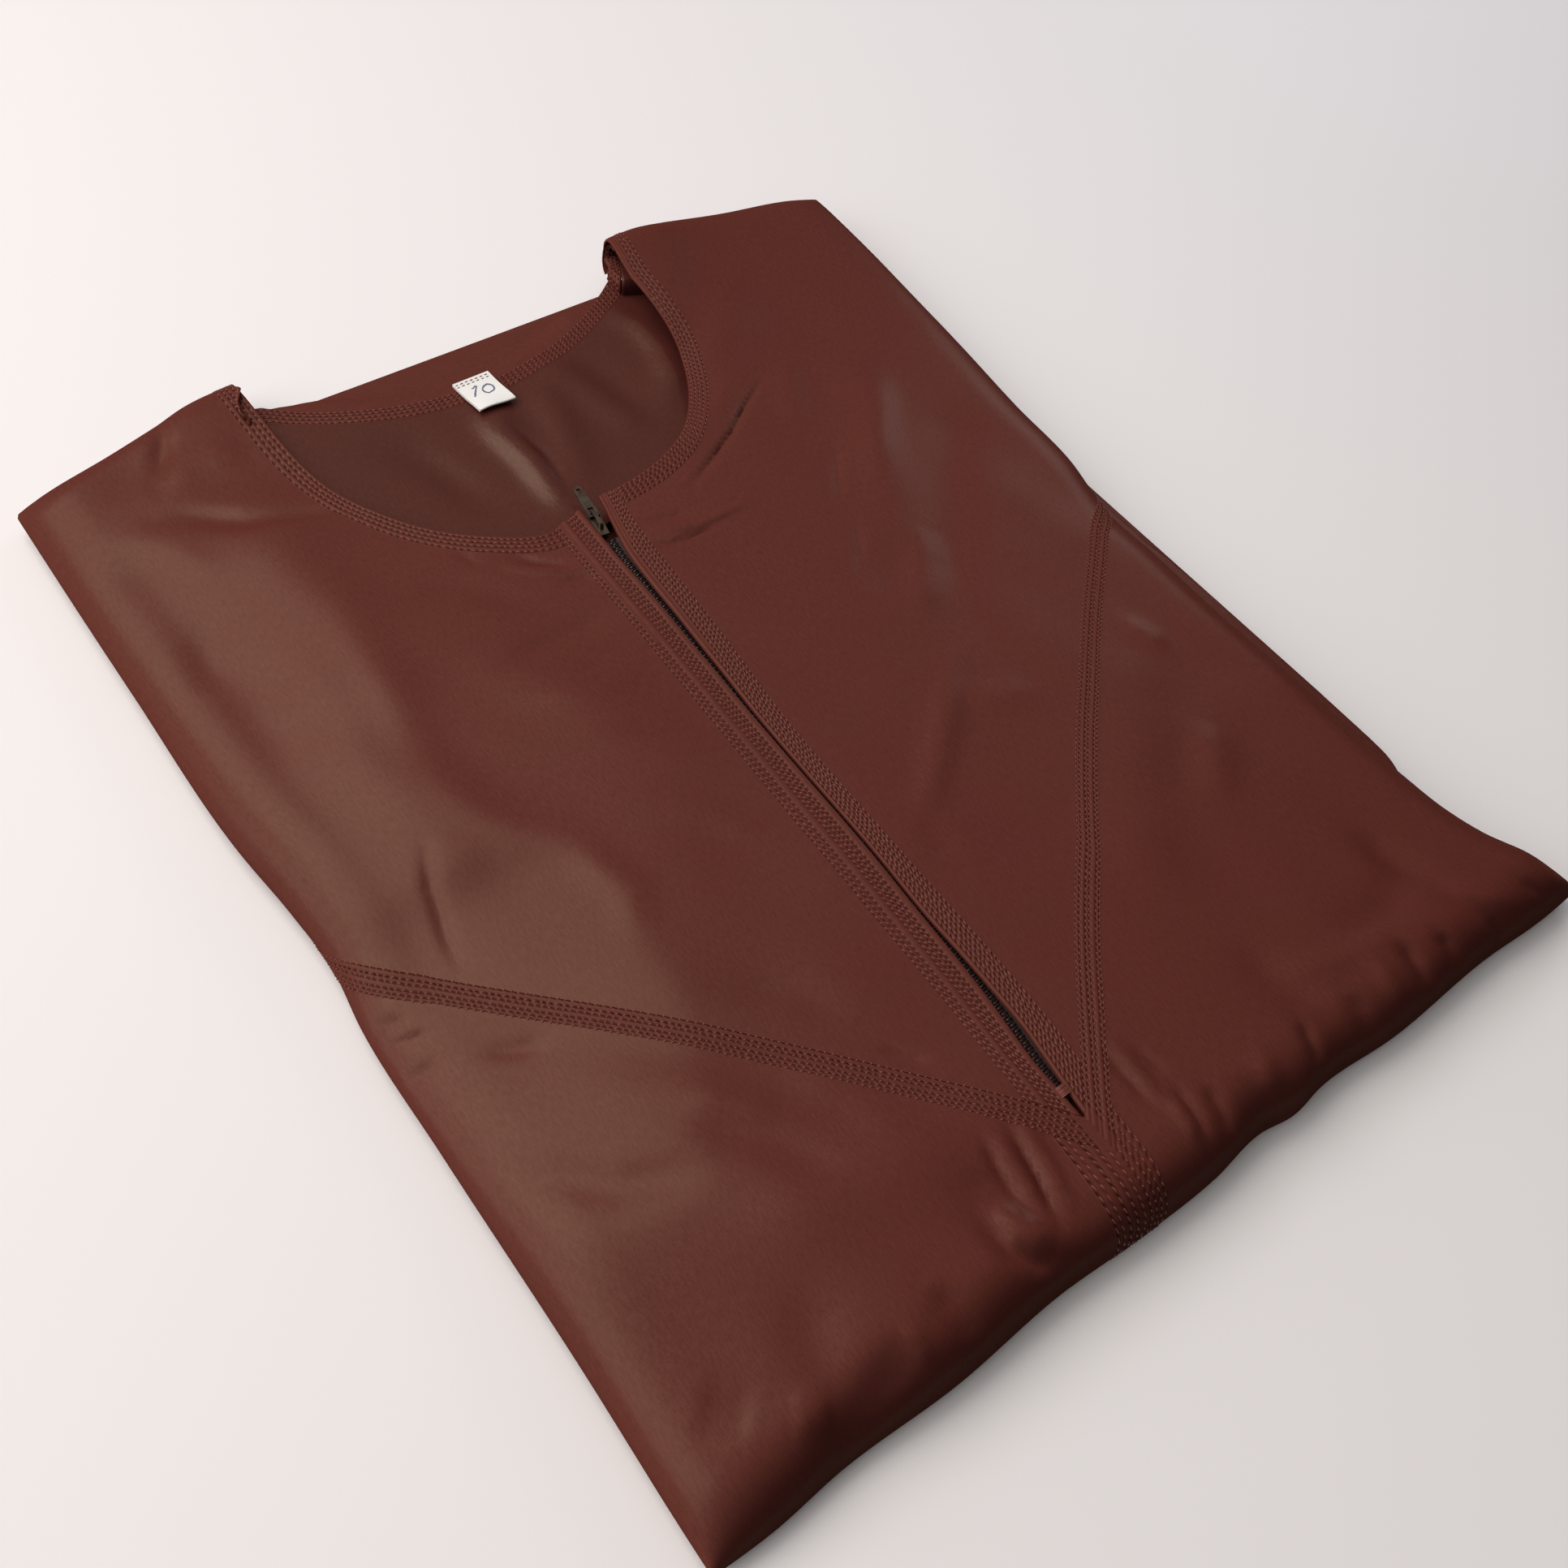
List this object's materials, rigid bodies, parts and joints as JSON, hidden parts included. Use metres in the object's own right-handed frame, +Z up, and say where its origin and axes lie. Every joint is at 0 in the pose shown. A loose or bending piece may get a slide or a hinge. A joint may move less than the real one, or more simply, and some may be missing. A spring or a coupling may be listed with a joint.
{
  "type": "folded thobe",
  "caption": "Long satin robe folded flat like a shirt, front up, with a round banded neck, a zipped placket and stitched seam bands that meet in a V.",
  "frame": {"origin": "middle of the outline, on the surface that the folded garment lies on", "axes": "+X to the right and +Y towards the shoulders, seen from above with the hem fold nearest; +Z up"},
  "size_m": [0.3876, 0.4744, 0.0294],
  "materials": {
    "satin": "dull red-brown satin",
    "tape": "woven dark brown tape",
    "coil": "black nylon",
    "zip_metal": "dark olive lacquered metal",
    "label": "white woven tape"
  },
  "bodies": {
    "garment": {"folded_layers": "satin", "front_yoke_left": "satin", "front_yoke_right": "satin", "front_panel_left": "satin", "front_panel_right": "satin", "back_panel": "satin", "neck_band_left": "satin", "neck_band_right": "satin", "neck_band_back": "satin", "seam_band_left": "satin", "seam_band_right": "satin", "centre_band": "satin", "placket_left": "satin", "placket_right": "satin", "zip_tape_left": "tape", "zip_tape_right": "tape", "zip_coil": "coil", "zip_slider": "zip_metal", "size_label": "label"},
    "pull_tab": {"zip_pull": "zip_metal"}
  },
  "joints": [
    {"name": "pull_tab_hinge", "type": "hinge", "parent": "garment", "child": "pull_tab", "pos_m": [-0.01449, 0.09329, 0.02151], "axis": [0.9903, -0.1392, 0], "range_deg": [0, 150]}
  ]
}
